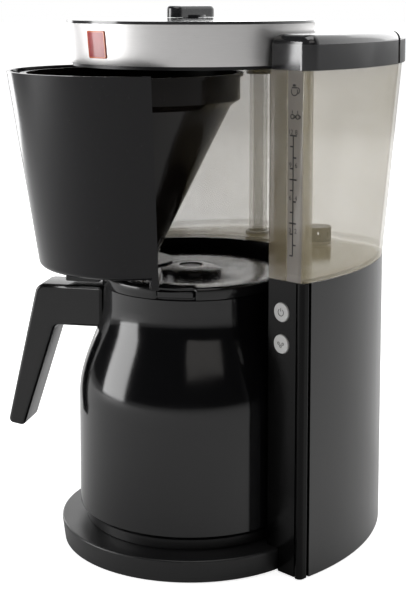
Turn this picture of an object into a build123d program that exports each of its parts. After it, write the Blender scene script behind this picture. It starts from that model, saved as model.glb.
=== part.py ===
"""Drip coffee maker with a water tank, a swing-out filter and a thermal jug.

Millimetres, +Z up, +X to the right, +Y to the back.
The origin is on the floor, on the vertical axis that the jug and the brew head share.
The filter is built where it stands when it is swung partly open.
"""

from build123d import *
import os
from math import cos, radians, sin

# ---------------------------------------------------------------- driving sizes
# heights, from the floor up
foot_h = 0.8
stand_h = 14.5
column_h = 172.7
tank_h = 129.5
head_rise = 2.2
band_h = 25.3
head_lid_h = 3.0
knob_h = 8.0
cover_h = 21.5

# plan
jug_r = 74.8
bay_gap = 3.7
arm_w = 28.7
back_depth = 48.3
widest_y = 10.8
side_bow_r = 167.4
back_corner_r = 34.0
right_front_y = -8.0
left_front_y = 20.0
tank_lean_side = 3.8
tank_lean_back = 17.8
tank_bow_r = 207.8
tank_corner_r = 30.0
tank_nose_r = 5.0
cover_nose_r = 8.0
trim_round = 2.8
cover_lip = 2.0
cover_round = 6.0
barrel_r = 5.0
ear_r = 2.3
axle_r = 1.4

# walls and gaps
wall = 2.5
thin_wall = 2.0
gap = 0.3
run = 0.4
seam = 0.4
trim_d = 8.0

# stand and feet
stand_r = 87.2
stand_lip = 1.6
foot_r = 8.0
plate_t = 2.5

# brew head
band_top_r = 81.1
band_bottom_r = 78.5
band_t = 0.8
spray_t = 2.0
spray_hole_r = 1.2
knob_l = 38.0
knob_w = 12.0
shaft_r = 5.0
badge_w = 16.0
badge_h = 17.0
badge_t = 0.8

# tank fittings
riser_r = 6.5
riser_bore = 4.5
riser_angle = 106.8
riser_ring_r = 100.2
collar_r = 9.0
collar_h = 11.0
sieve_r = 9.0

# filter
hinge_x = -88.0
hinge_y = 9.6
pin_r = 3.0
sleeve_r = 6.0
sleeve_h = 14.0
open_angle = 27.0
shell_top_r = 80.0
shell_bottom_r = 60.5
shell_drop = 1.2
shell_t = 2.4
flange_w = 7.0
flange_t = 4.2
flange_drop = 6.5
seam_top_y = -8.9
seam_bottom_y = 0.5
basket_gap = 3.0
basket_t = 1.8
basket_rim_h = 17.0
basket_foot_r = 16.0
valve_r = 5.0

# jug
jug_neck_r = 58.5
jug_collar_h = 7.0
jug_wall = 1.6
liner_gap = 4.0
liner_t = 0.8
jug_ring_h = 6.5
handle_angle = 213.5
handle_w = 28.0
handle_reach = 104.0
handle_lean = 22.0
handle_t = 11.5
handle_bar_h = 28.0
handle_low_z = 69.0
dome_r = 20.0
dome_drop = 0.8
lever_w = 22.0
lever_pivot = 30.0
lever_pivot_up = 0.9
lever_pivot_r = 1.5

# buttons
button_r = 6.0
button_x = 89.3
button_gap_z = 20.1
button_drop = 19.8
button_travel = 1.5
button_flange = 1.6

# ---------------------------------------------------------------- worked-out sizes
stand_top = foot_h + stand_h
column_top = stand_top + column_h
tank_top = column_top + tank_h
band_bottom = tank_top + head_rise
band_top = band_bottom + band_h
head_top = band_top + head_lid_h
bay_r = jug_r + bay_gap
half_w = bay_r + arm_w
back_y = bay_r + back_depth
trim_x = half_w - 6.4
back_seam_y = back_y - 26.0
jug_bottom = stand_top + gap
handle_top = column_top - 18.7
collar_bottom = column_top - 15.3
collar_top = collar_bottom + jug_collar_h
lid_top = column_top - 3.0
filter_bottom = column_top + shell_drop
filter_top = tank_top - 2.5
hinge = Vector(hinge_x, hinge_y, 0)
swing_centre = hinge + (Vector(0, 0, 0) - hinge).rotate(Axis.Z, -open_angle)
riser_x = riser_ring_r * cos(radians(riser_angle))
riser_y = riser_ring_r * sin(radians(riser_angle))
cos_h = cos(radians(handle_angle))
sin_h = sin(radians(handle_angle))

os.makedirs("parts", exist_ok=True)


def save(piece, name):
    """Label a finished piece and write its STEP file."""
    piece.part.label = name
    export_step(piece.part, f"parts/{name}.step")


def level(z):
    """A horizontal plane at height z."""
    return Plane.XY.offset(z)


def swung(z):
    """A horizontal plane of the filter, turned open about its hinge."""
    x_dir = Vector(1, 0, 0).rotate(Axis.Z, -open_angle)
    return Plane(origin=(swing_centre.X, swing_centre.Y, z), x_dir=x_dir, z_dir=(0, 0, 1))


def swung_side():
    """The filter's own XZ plane, its normal towards the filter's front."""
    x_dir = Vector(1, 0, 0).rotate(Axis.Z, -open_angle)
    front = Vector(0, -1, 0).rotate(Axis.Z, -open_angle)
    return Plane(origin=(swing_centre.X, swing_centre.Y, 0), x_dir=x_dir, z_dir=front)


def handle_side():
    """The upright plane through the jug's handle: x is the distance from the axis."""
    return Plane(origin=(0, 0, 0), x_dir=(cos_h, sin_h, 0), z_dir=(sin_h, -cos_h, 0))


def front_plane(y):
    """An upright plane facing the front, x to the right and y up."""
    return Plane(origin=(0, y, 0), x_dir=(1, 0, 0), z_dir=(0, -1, 0))


def body_plan(inset=0.0, top=0.0, nose=0.0):
    """Plan of the column (top = 0) or of the tank's upper edge (top = 1), moved in by inset.

    The sides are bowed, the back has round corners, and the left front is set back.
    The two front corners are sharp, or round with the radius nose.
    """
    bow = side_bow_r + top * (tank_bow_r - side_bow_r)
    reach = half_w + top * tank_lean_side - bow
    corner = back_corner_r + top * (tank_corner_r - back_corner_r)
    front = right_front_y + inset
    rear = back_y + top * tank_lean_back - inset
    with BuildSketch() as plan:
        with Locations((reach, widest_y)):
            Circle(bow - inset)
        with Locations((-reach, widest_y)):
            Circle(bow - inset, mode=Mode.INTERSECT)
        with Locations((0, (front + rear) / 2)):
            Rectangle(3 * half_w, rear - front, mode=Mode.INTERSECT)
        fillet(plan.vertices().group_by(Axis.Y)[-1], corner - inset)
        with Locations((-half_w, (front + left_front_y + inset) / 2)):
            Rectangle(2 * half_w, left_front_y + inset - front, mode=Mode.SUBTRACT)
        if nose > 0:
            right = plan.vertices().group_by(Axis.Y)[0].sort_by(Axis.X)[-1]
            left = plan.vertices().sort_by(Axis.X)[:3].sort_by(Axis.Y)[0]
            fillet([right, left], nose)
    return plan.sketch


def wall_ring():
    """The column's wall in plan: the bowed outside and the round bay in front."""
    with BuildSketch() as hollow:
        add(body_plan(wall))
        Circle(bay_r + wall, mode=Mode.SUBTRACT)
    with BuildSketch() as ring:
        add(body_plan())
        add(hollow.sketch, mode=Mode.SUBTRACT)
        Circle(bay_r, mode=Mode.SUBTRACT)
    return ring.sketch


def front_mask(grow):
    """The part of the plan that belongs to the bay wall and the two arm fronts."""
    with BuildSketch() as mask:
        Circle(bay_r + wall + grow)
        with Locations((trim_x / 2, right_front_y)):
            Rectangle(trim_x + 2 * grow, 2 * (wall + grow))
        with Locations((-trim_x / 2, left_front_y)):
            Rectangle(trim_x + 2 * grow, 2 * (wall + grow))
    return mask.sketch


def trim_plan(side, front, grow=0.0):
    """Plan of a corner trim: a strip with round front edges, a little proud of the front."""
    width = half_w - trim_x - 0.4
    depth = trim_d
    with BuildSketch() as plan:
        with Locations((side * (trim_x + width / 2), front + depth / 2 - 1.0)):
            RectangleRounded(width + 2 * grow, depth + 2 * grow, trim_round)
    return plan.sketch


# ---------------------------------------------------------------- base
base_z = foot_h + plate_t
screw_spots = [(0, -58), (50, 29), (-50, 29)]
stand_under_r = stand_r - stand_lip - wall


def bottom_plan(grow=0.0):
    """Plan of the bottom cover, which sits inside the stand's and the column's walls."""
    with BuildSketch() as plan:
        add(body_plan(wall + gap - grow))
        Circle(stand_under_r - gap + grow)
        add(trim_plan(1, right_front_y, seam - grow), mode=Mode.SUBTRACT)
        add(trim_plan(-1, left_front_y, seam - grow), mode=Mode.SUBTRACT)
    return plan.sketch


with BuildPart() as bottom_cover:
    with BuildSketch(level(foot_h)):
        add(bottom_plan())
    extrude(amount=plate_t)
    with Locations(*[(x, y, foot_h) for x, y in screw_spots]):
        Cylinder(3.4, plate_t, align=(Align.CENTER, Align.CENTER, Align.MIN), mode=Mode.SUBTRACT)
save(bottom_cover, "bottom_cover")

foot_spots = [(0, 0), (0, -74), (88, 8), (-84, 32), (62, 104), (-62, 104)]
with BuildPart() as feet:
    with BuildSketch(level(0)):
        with Locations(*foot_spots):
            Circle(foot_r)
    extrude(amount=foot_h)
    chamfer(feet.edges().group_by(Axis.Z)[0], 0.3)
save(feet, "feet")

under_top = stand_top - wall
with BuildPart() as stand:
    with BuildSketch(level(foot_h)):
        Circle(stand_r - stand_lip)
    with BuildSketch(level(stand_top - 2.0)):
        Circle(stand_r)
    loft()
    with BuildSketch(level(stand_top - 2.0)):
        Circle(stand_r)
    extrude(amount=2.0)
    fillet(stand.edges().group_by(Axis.Z)[-1], 1.2)
    with BuildSketch(level(foot_h)):
        Circle(stand_under_r)
    extrude(amount=under_top - foot_h, mode=Mode.SUBTRACT)
    with BuildSketch(level(foot_h)):
        add(bottom_plan(gap))
    extrude(amount=plate_t + 0.1, mode=Mode.SUBTRACT)
    with BuildSketch(level(base_z + 0.1)):
        with Locations(*screw_spots):
            Circle(5.0)
    extrude(amount=under_top - base_z - 0.1)
    with BuildSketch(level(base_z)):
        with Locations(*screw_spots):
            Circle(1.6)
    extrude(amount=7.0, mode=Mode.SUBTRACT)
save(stand, "jug_stand")

with BuildPart() as base_screws:
    with BuildSketch(level(foot_h + 0.5)):
        with Locations(*screw_spots):
            Circle(3.0)
    extrude(amount=plate_t - 0.5)
    with BuildSketch(level(base_z)):
        with Locations(*screw_spots):
            Circle(1.5)
    extrude(amount=6.0)
save(base_screws, "base_screws")

# ---------------------------------------------------------------- column
column_wall_h = column_top - foot_h

with BuildPart() as stand_clear:
    with BuildSketch(level(0)):
        Circle(stand_r + seam)
    extrude(amount=stand_top + seam)

button_low_z = column_top - button_drop - button_gap_z
button_high_z = column_top - button_drop
button_spots = [(button_x, button_high_z), (button_x, button_low_z)]

with BuildPart() as bay_wall:
    with BuildSketch(level(foot_h)):
        add(wall_ring())
        add(front_mask(0.0), mode=Mode.INTERSECT)
    extrude(amount=column_wall_h)
    add(stand_clear.part, mode=Mode.SUBTRACT)
    with BuildSketch(front_plane(right_front_y + 2 * wall)):
        with Locations(*button_spots):
            Circle(button_r + run)
    extrude(amount=4 * wall, mode=Mode.SUBTRACT)
save(bay_wall, "bay_wall")

with BuildPart() as column_cover:
    with BuildSketch(level(foot_h)):
        add(wall_ring())
        add(front_mask(gap), mode=Mode.SUBTRACT)
        with Locations((half_w, right_front_y), (-half_w, left_front_y)):
            Rectangle(2 * (half_w - trim_x + seam), 2 * (trim_d - 1.0 + seam), mode=Mode.SUBTRACT)
        with Locations((0, back_seam_y + 100)):
            Rectangle(4 * half_w, 200, mode=Mode.SUBTRACT)
    extrude(amount=column_wall_h)
    add(stand_clear.part, mode=Mode.SUBTRACT)
save(column_cover, "side_covers")

gland_z = 30.0
gland_x = -40.0
with BuildPart() as rear_cover:
    with BuildSketch(level(foot_h)):
        add(wall_ring())
        add(front_mask(gap), mode=Mode.SUBTRACT)
        with Locations((0, back_seam_y + seam - 200)):
            Rectangle(4 * half_w, 400, mode=Mode.SUBTRACT)
    extrude(amount=column_wall_h)
    with BuildSketch(Plane(origin=(gland_x, back_y - 2 * wall, gland_z), z_dir=(0, 1, 0))):
        Circle(6.2)
    extrude(amount=4 * wall, mode=Mode.SUBTRACT)
save(rear_cover, "rear_cover")

with BuildPart() as mains_gland:
    with BuildSketch(Plane(origin=(gland_x, back_y, gland_z), z_dir=(0, 1, 0))):
        Circle(8.0)
        Circle(3.6, mode=Mode.SUBTRACT)
    extrude(amount=2.0)
    with BuildSketch(Plane(origin=(gland_x, back_y - wall - 2.0, gland_z), z_dir=(0, 1, 0))):
        Circle(6.0)
        Circle(3.6, mode=Mode.SUBTRACT)
    extrude(amount=wall + 2.0)
save(mains_gland, "mains_gland")

with BuildPart() as corner_trims:
    with BuildSketch(level(foot_h)):
        add(trim_plan(1, right_front_y))
        add(trim_plan(-1, left_front_y))
    extrude(amount=column_wall_h)
save(corner_trims, "corner_trims")

deck_t = 4.0
with BuildPart() as column_deck:
    with BuildSketch(level(column_top - deck_t)):
        add(body_plan(wall + gap))
        Circle(bay_r + wall + gap, mode=Mode.SUBTRACT)
        add(trim_plan(1, right_front_y, seam), mode=Mode.SUBTRACT)
        add(trim_plan(-1, left_front_y, seam), mode=Mode.SUBTRACT)
        with Locations((riser_x, riser_y), (-riser_x, riser_y)):
            Circle(riser_r + gap, mode=Mode.SUBTRACT)
    extrude(amount=deck_t)
save(column_deck, "column_deck")

# ---------------------------------------------------------------- water circuit in the column
heater_t = 18.0
heater_z = 34.0
heater_half = 30.0
outlet_z = heater_z + heater_t
riser_foot = column_top - 12.0

start_sin = sin(radians(heater_half))
start_cos = cos(radians(heater_half))

with BuildPart() as flow_heater:
    heater_plane = Plane((0, 0, heater_z), x_dir=(start_sin, start_cos, 0), z_dir=(start_cos, -start_sin, 0))
    with BuildSketch(heater_plane):
        with Locations((riser_ring_r, heater_t / 2)):
            RectangleRounded(heater_t, heater_t, 4.0)
    revolve(axis=Axis.Z, revolution_arc=2 * heater_half)
    with BuildSketch(level(outlet_z - 1.0)):
        with Locations((riser_x, riser_y), (-riser_x, riser_y)):
            Circle(5.0)
    extrude(amount=13.0)
    with BuildSketch(level(outlet_z - 8.0)):
        with Locations((riser_x, riser_y), (-riser_x, riser_y)):
            Circle(3.5)
    extrude(amount=20.0, mode=Mode.SUBTRACT)
save(flow_heater, "flow_heater")

with BuildPart() as heater_bracket:
    with BuildSketch(level(base_z)):
        with Locations((0, riser_ring_r)):
            Rectangle(40.0, 14.0)
    extrude(amount=2.0)
    with BuildSketch(level(base_z)):
        with Locations((-12.0, riser_ring_r), (12.0, riser_ring_r)):
            Rectangle(3.0, 14.0)
    extrude(amount=heater_z - base_z - 0.1)
save(heater_bracket, "heater_bracket")

with BuildPart() as thermostat:
    with BuildSketch(level(outlet_z + 0.1)):
        with Locations((0, riser_ring_r)):
            Circle(7.5)
    extrude(amount=3.0)
    with BuildSketch(level(outlet_z + 3.1)):
        with Locations((0, riser_ring_r)):
            Circle(5.5)
    extrude(amount=6.0)
save(thermostat, "thermostat")

with BuildPart() as thermal_fuse:
    with BuildSketch(level(outlet_z + 0.1)):
        with Locations((14.0, riser_ring_r - 3.0)):
            RectangleRounded(5.0, 7.0, 1.0)
    extrude(amount=5.0)
save(thermal_fuse, "thermal_fuse")

with BuildPart() as hot_hose:
    with BuildSketch(level(outlet_z + 1.0)):
        with Locations((riser_x, riser_y)):
            Circle(7.2)
            Circle(5.1, mode=Mode.SUBTRACT)
    extrude(amount=riser_foot - outlet_z - 2.0)
save(hot_hose, "hot_water_hose")

check_valve_z = (outlet_z + riser_foot) / 2
with BuildPart() as check_valve:
    with BuildSketch(level(check_valve_z)):
        with Locations((-riser_x, riser_y)):
            Circle(8.0)
            Circle(3.0, mode=Mode.SUBTRACT)
    extrude(amount=16.0)
    with BuildSketch(level(check_valve_z - 8.0)):
        with Locations((-riser_x, riser_y)):
            Circle(5.0)
            Circle(3.0, mode=Mode.SUBTRACT)
    extrude(amount=32.0)
save(check_valve, "check_valve")

with BuildPart() as cold_hose:
    for low, high in ((outlet_z + 1.0, check_valve_z - 0.2), (check_valve_z + 16.2, riser_foot - 0.2)):
        with BuildSketch(level(low)):
            with Locations((-riser_x, riser_y)):
                Circle(7.2)
                Circle(5.1, mode=Mode.SUBTRACT)
        extrude(amount=high - low)
save(cold_hose, "cold_water_hoses")

clamp_spots = [(riser_x, outlet_z + 4.0), (riser_x, riser_foot - 8.0), (-riser_x, outlet_z + 4.0),
               (-riser_x, riser_foot - 8.0), (-riser_x, check_valve_z - 6.0)]
with BuildPart() as hose_clamps:
    for x, z in clamp_spots:
        with BuildSketch(level(z)):
            with Locations((x, riser_y)):
                Circle(8.3)
                Circle(7.3, mode=Mode.SUBTRACT)
        extrude(amount=4.0)
save(hose_clamps, "hose_clamps")

# ---------------------------------------------------------------- switches behind the buttons
board_y = right_front_y + 17.0
switch_l = 5.0
stem_end = board_y - switch_l - button_travel - 0.3
board_mid = (button_low_z + button_high_z) / 2
with BuildPart() as control_board:
    with BuildSketch(Plane(origin=(0, board_y, 0), x_dir=(1, 0, 0), z_dir=(0, -1, 0))):
        with Locations((button_x - 0.5, board_mid - 8.0)):
            Rectangle(14.0, 62.0)
    extrude(amount=-1.6)
save(control_board, "control_board")

with BuildPart() as switches:
    with BuildSketch(front_plane(board_y)):
        with Locations(*button_spots):
            Rectangle(6.0, 6.0)
    extrude(amount=switch_l - 1.5)
    with BuildSketch(front_plane(board_y - switch_l + 1.5)):
        with Locations(*button_spots):
            Circle(1.7)
    extrude(amount=1.5)
save(switches, "button_switches")

for z, name in ((button_high_z, "power"), (button_low_z, "descale")):
    with BuildPart() as button:
        with BuildSketch(front_plane(right_front_y + wall + 0.3)):
            with Locations((button_x, z)):
                Circle(button_r)
        extrude(amount=wall + 1.3)
        fillet(button.edges().group_by(Axis.Y)[0], 0.6)
        with BuildSketch(front_plane(right_front_y + wall + 0.3 + button_flange)):
            with Locations((button_x, z)):
                Circle(button_r + 1.4)
        extrude(amount=button_flange)
        with BuildSketch(front_plane(stem_end)):
            with Locations((button_x, z)):
                Circle(1.6)
        extrude(amount=stem_end - right_front_y - wall - button_flange)
    save(button, f"{name}_button")
    with BuildPart() as spring:
        with BuildSketch(front_plane(board_y - switch_l + 1.4)):
            with Locations((button_x, z)):
                Circle(5.2)
                Circle(4.6, mode=Mode.SUBTRACT)
        extrude(amount=board_y - switch_l + 1.4 - right_front_y - wall - 0.3 - button_flange - 0.1)
    save(spring, f"{name}_button_spring")

# ---------------------------------------------------------------- tank
tank_z = column_top + seam
tank_floor = tank_z + thin_wall
with BuildPart() as tank_hollow:
    with BuildSketch(level(tank_floor)):
        add(body_plan(thin_wall, 0.0, tank_nose_r - thin_wall))
    with BuildSketch(level(tank_top + 1.0)):
        add(body_plan(thin_wall, 1.0, tank_nose_r - thin_wall))
    loft(ruled=True)
    with BuildSketch(level(tank_z)):
        Circle(bay_r + thin_wall)
    extrude(amount=tank_h + 5.0, mode=Mode.SUBTRACT)

with BuildPart() as tank:
    with BuildSketch(level(tank_z)):
        add(body_plan(0.0, 0.0, tank_nose_r))
    with BuildSketch(level(tank_top)):
        add(body_plan(0.0, 1.0, tank_nose_r))
    loft(ruled=True)
    with BuildSketch(level(tank_z - 1.0)):
        Circle(bay_r)
    extrude(amount=tank_h + 5.0, mode=Mode.SUBTRACT)
    add(tank_hollow.part, mode=Mode.SUBTRACT)
    with BuildSketch(level(tank_z - 1.0)):
        with Locations((riser_x, riser_y), (-riser_x, riser_y)):
            Circle(riser_r + 0.1)
    extrude(amount=thin_wall + 3.0, mode=Mode.SUBTRACT)
save(tank, "water_tank")

with BuildPart() as riser:
    with BuildSketch(level(riser_foot)):
        with Locations((riser_x, riser_y)):
            Circle(5.0)
    extrude(amount=column_top - deck_t - riser_foot)
    with BuildSketch(level(column_top - deck_t)):
        with Locations((riser_x, riser_y)):
            Circle(riser_r)
    extrude(amount=tank_top - column_top + deck_t)
    with BuildSketch(level(riser_foot)):
        with Locations((riser_x, riser_y)):
            Circle(riser_bore - 1.0)
    extrude(amount=tank_top - riser_foot, mode=Mode.SUBTRACT)
save(riser, "riser_tube")

with BuildPart() as outlet:
    with BuildSketch(level(riser_foot)):
        with Locations((-riser_x, riser_y)):
            Circle(5.0)
    extrude(amount=column_top - deck_t - riser_foot)
    with BuildSketch(level(column_top - deck_t)):
        with Locations((-riser_x, riser_y)):
            Circle(riser_r)
    extrude(amount=tank_floor + 1.0 - column_top + deck_t)
    with BuildSketch(level(riser_foot)):
        with Locations((-riser_x, riser_y)):
            Circle(riser_bore - 1.0)
    extrude(amount=tank_floor + 2.0 - riser_foot, mode=Mode.SUBTRACT)
save(outlet, "tank_outlet")

with BuildPart() as tank_seals:
    with BuildSketch(level(tank_floor + 0.1)):
        with Locations((riser_x, riser_y), (-riser_x, riser_y)):
            Circle(sieve_r)
            Circle(riser_r + 0.1, mode=Mode.SUBTRACT)
    extrude(amount=1.5)
save(tank_seals, "tank_seals")

with BuildPart() as sieve:
    with BuildSketch(level(tank_floor + 1.7)):
        with Locations((-riser_x, riser_y)):
            Circle(sieve_r)
    extrude(amount=10.0)
    with BuildSketch(level(tank_floor + 1.7)):
        with Locations((-riser_x, riser_y)):
            Circle(sieve_r - 1.0)
    extrude(amount=9.0, mode=Mode.SUBTRACT)
    with BuildSketch(level(tank_floor + 4.0)):
        with Locations((-riser_x, riser_y)):
            with PolarLocations(sieve_r, 8):
                Rectangle(4.0, 2.4)
    extrude(amount=5.0, mode=Mode.SUBTRACT)
save(sieve, "tank_sieve")

with BuildPart() as riser_collar:
    with BuildSketch(level(tank_top - collar_h)):
        with Locations((riser_x, riser_y)):
            Circle(collar_r)
            Circle(riser_r + 0.1, mode=Mode.SUBTRACT)
    extrude(amount=collar_h)
save(riser_collar, "riser_collar")

# ---------------------------------------------------------------- brew head
bridge_w = 70.0
bridge_back = riser_y + 8.3
shell_r_low = band_bottom_r - band_t - 0.1
shell_r_high = band_top_r - band_t - 0.1

with BuildPart() as head_shell:
    with BuildSketch(level(band_bottom)):
        Circle(shell_r_low)
    with BuildSketch(level(band_top)):
        Circle(shell_r_high)
    loft()
    with BuildSketch(level(tank_top + 0.1)):
        Circle(shell_r_low - 0.6)
    extrude(amount=head_rise - 0.1)
    with BuildSketch(level(band_bottom + 0.6)):
        Circle(shell_r_low - wall)
    extrude(amount=band_h, mode=Mode.SUBTRACT)
    with BuildSketch(level(tank_top)):
        Circle(shell_r_low - 12.0)
    extrude(amount=head_rise + 1.0, mode=Mode.SUBTRACT)
    with BuildSketch(level(tank_top + 0.1)):
        with Locations((0, (bay_r + bridge_back) / 2 - 6.0)):
            Rectangle(bridge_w, bridge_back - bay_r + 12.0)
        Circle(shell_r_low - 0.6, mode=Mode.SUBTRACT)
        with Locations((riser_x, riser_y)):
            Circle(4.2, mode=Mode.SUBTRACT)
    extrude(amount=head_rise - 0.1)
save(head_shell, "brew_head_shell")

with BuildPart() as head_band:
    with BuildSketch(level(band_bottom)):
        Circle(band_bottom_r)
    with BuildSketch(level(band_top)):
        Circle(band_top_r)
    loft()
    with BuildSketch(level(band_bottom)):
        Circle(band_bottom_r - band_t)
    with BuildSketch(level(band_top)):
        Circle(band_top_r - band_t)
    loft(mode=Mode.SUBTRACT)
save(head_band, "brew_head_band")

head_lid_z = band_top + 0.1
head_lid_r = band_top_r - 0.4
with BuildPart() as head_lid:
    with BuildSketch(Plane.XZ):
        with BuildLine():
            Polyline((0, head_lid_z), (head_lid_r, head_lid_z), (head_lid_r, head_top - 1.2))
            ThreePointArc((head_lid_r, head_top - 1.2), (0.6 * head_lid_r, head_top - 0.3), (0, head_top))
            Line((0, head_top), (0, head_lid_z))
        make_face()
    revolve(axis=Axis.Z)
    with BuildSketch(level(band_top)):
        Circle(shaft_r + run)
    extrude(amount=2 * head_lid_h, mode=Mode.SUBTRACT)
save(head_lid, "brew_head_lid")

with BuildPart() as spray_plate:
    with BuildSketch(level(band_bottom + 0.7)):
        Circle(shell_r_low - wall - 0.3)
        with PolarLocations(12.0, 6):
            Circle(spray_hole_r, mode=Mode.SUBTRACT)
        with PolarLocations(26.0, 12):
            Circle(spray_hole_r, mode=Mode.SUBTRACT)
        with PolarLocations(42.0, 18):
            Circle(spray_hole_r, mode=Mode.SUBTRACT)
    extrude(amount=spray_t)
save(spray_plate, "spray_plate")

with BuildPart() as channel:
    with BuildSketch(level(tank_top + head_rise)):
        with Locations((riser_x, riser_y)):
            Circle(8.0)
            Circle(4.2, mode=Mode.SUBTRACT)
    extrude(amount=6.0)
save(channel, "hot_water_elbow")

with BuildPart() as badge:
    with BuildSketch(front_plane(0)):
        with Locations((0, band_bottom + 0.5 * band_h)):
            RectangleRounded(badge_w, badge_h, 1.2)
    extrude(amount=2 * bay_r)
    with BuildSketch(level(band_bottom)):
        Circle(band_bottom_r + badge_t)
    with BuildSketch(level(band_top)):
        Circle(band_top_r + badge_t)
    loft(mode=Mode.INTERSECT)
    with BuildSketch(level(band_bottom)):
        Circle(band_bottom_r + 0.02)
    with BuildSketch(level(band_top)):
        Circle(band_top_r + 0.02)
    loft(mode=Mode.SUBTRACT)
save(badge, "front_badge")

with BuildPart() as knob:
    with BuildSketch(level(head_top + 0.3)):
        SlotOverall(knob_l, knob_w, rotation=90)
    extrude(amount=knob_h - 0.6)
    fillet(knob.edges().group_by(Axis.Z)[-1], 2.2)
    with BuildSketch(level(head_top + 0.3)):
        Circle(shaft_r + 5.0)
    extrude(amount=1.6)
save(knob, "strength_selector")

with BuildPart() as shaft:
    with BuildSketch(level(band_bottom + spray_t + 1.2)):
        Circle(shaft_r)
    extrude(amount=head_top + 0.3 - band_bottom - spray_t - 1.2)
    with BuildSketch(level(band_bottom + spray_t + 3.0)):
        Circle(22.0)
        with Locations((12.0, 0)):
            Circle(5.0, mode=Mode.SUBTRACT)
    extrude(amount=2.0)
save(shaft, "water_diverter")

# ---------------------------------------------------------------- tank lid
cover_z = tank_top + gap
cover_top = cover_z + cover_h
lid_bay = band_top_r + 1.0
axle_y = lid_bay + 17.5
axle_z = cover_top - barrel_r
cap_y = axle_y + barrel_r + seam
ear_x = 55.0
ear_w = 5.4
barrel_half = 80.0
swing_room_y = 42.0
swing_room_h = 10.6


def cover_solid():
    """The whole tank cover: a round-edged shell that hugs the brew head."""
    with BuildPart() as cover:
        with BuildSketch(level(cover_z)):
            add(body_plan(-cover_lip, 1.0, cover_nose_r))
            Circle(lid_bay, mode=Mode.SUBTRACT)
        extrude(amount=cover_h)
        fillet(cover.edges().group_by(Axis.Z)[-1], cover_round)
        with BuildSketch(level(cover_z)):
            add(body_plan(thin_wall + gap, 1.0, tank_nose_r - thin_wall))
            Circle(lid_bay + thin_wall, mode=Mode.SUBTRACT)
        extrude(amount=cover_h - thin_wall, mode=Mode.SUBTRACT)
        with BuildSketch(level(cover_z)):
            with Locations((0, bay_r)):
                Rectangle(bridge_w + 4.0, 30.0)
        extrude(amount=head_rise + 0.6, mode=Mode.SUBTRACT)
    return cover.part


def across_plane(x):
    """An upright plane that faces +X, with x to the back and y up."""
    return Plane(origin=(x, 0, 0), x_dir=(0, 1, 0), z_dir=(1, 0, 0))


with BuildPart() as tank_lid:
    add(cover_solid())
    with BuildSketch(level(cover_z - 1.0)):
        with Locations((0, axle_y + 100.0)):
            Rectangle(4 * half_w, 200.0)
    extrude(amount=cover_h + 2.0, mode=Mode.SUBTRACT)
    with BuildSketch(level(cover_z - 1.0)):
        Circle(lid_bay + thin_wall + 1.0)
        with Locations((0, swing_room_y + lid_bay)):
            Rectangle(2 * lid_bay, 2 * lid_bay, mode=Mode.INTERSECT)
    extrude(amount=swing_room_h + 1.0, mode=Mode.SUBTRACT)
    with BuildSketch(across_plane(-barrel_half)):
        with Locations((axle_y, axle_z)):
            Circle(barrel_r)
    extrude(amount=2 * barrel_half)
    for x in (-ear_x, ear_x):
        with BuildSketch(across_plane(x - ear_w / 2 - gap)):
            with Locations((axle_y + 3.0, axle_z)):
                Rectangle(15.0, 4 * barrel_r)
        extrude(amount=ear_w + 2 * gap, mode=Mode.SUBTRACT)
        with BuildSketch(across_plane(x - 10.0)):
            with Locations((axle_y, axle_z)):
                Circle(axle_r + 0.05)
        extrude(amount=20.0, mode=Mode.SUBTRACT)
save(tank_lid, "tank_lid")

with BuildPart() as rear_cap:
    add(cover_solid())
    with BuildSketch(level(cover_z - 1.0)):
        with Locations((0, cap_y - 200.0)):
            Rectangle(4 * half_w, 400.0)
    extrude(amount=cover_h + 2.0, mode=Mode.SUBTRACT)
    with BuildSketch(level(cover_z)):
        with Locations((0, cap_y + thin_wall / 2)):
            Rectangle(2 * ear_x + 2 * ear_w, thin_wall)
    extrude(amount=cover_h - thin_wall / 2)
    for x in (-ear_x, ear_x):
        with BuildSketch(across_plane(x - ear_w / 2)):
            with Locations((axle_y, axle_z)):
                Circle(ear_r)
            with Locations((axle_y + barrel_r, axle_z - ear_r / 2)):
                Rectangle(2 * barrel_r, ear_r)
        extrude(amount=ear_w)
        with BuildSketch(across_plane(x - ear_w / 2)):
            with Locations((axle_y, axle_z)):
                Circle(axle_r)
        extrude(amount=ear_w, mode=Mode.SUBTRACT)
save(rear_cap, "tank_rear_cap")

with BuildPart() as lid_pins:
    for x in (-ear_x, ear_x):
        with BuildSketch(across_plane(x - 9.0)):
            with Locations((axle_y, axle_z)):
                Circle(axle_r)
        extrude(amount=18.0)
save(lid_pins, "tank_lid_pins")

# ---------------------------------------------------------------- swing filter
filter_h = filter_top - filter_bottom


def cone_r(z):
    """Outer radius of the filter shell at height z."""
    return shell_bottom_r + (shell_top_r - shell_bottom_r) * (z - filter_bottom) / filter_h


def shell_profile(inner, outer, low, high):
    """Half section of a conical ring, between two offsets from the shell's outside."""
    with BuildSketch(swung_side()) as profile:
        Polygon(
            (cone_r(low) - inner, low),
            (cone_r(low) - outer, low),
            (cone_r(high) - outer, high),
            (cone_r(high) - inner, high),
            align=None,
        )
    return profile.sketch


def front_half(depth, low, high):
    """A block of everything in front of the tilted seam, moved forward by depth."""
    rise = (seam_bottom_y - seam_top_y) / filter_h
    across = Vector(1, 0, 0).rotate(Axis.Z, -open_angle)
    back = Vector(0, 1, 0).rotate(Axis.Z, -open_angle)
    start = swing_centre - across * 2 * bay_r
    side = Plane(origin=(start.X, start.Y, 0), x_dir=back, z_dir=across)
    with BuildPart() as block:
        with BuildSketch(side):
            Polygon(
                (-2 * bay_r, low),
                (seam_bottom_y - rise * (low - filter_bottom) - depth, low),
                (seam_bottom_y - rise * (high - filter_bottom) - depth, high),
                (-2 * bay_r, high),
                align=None,
            )
        extrude(amount=4 * bay_r)
    return block.part


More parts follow.
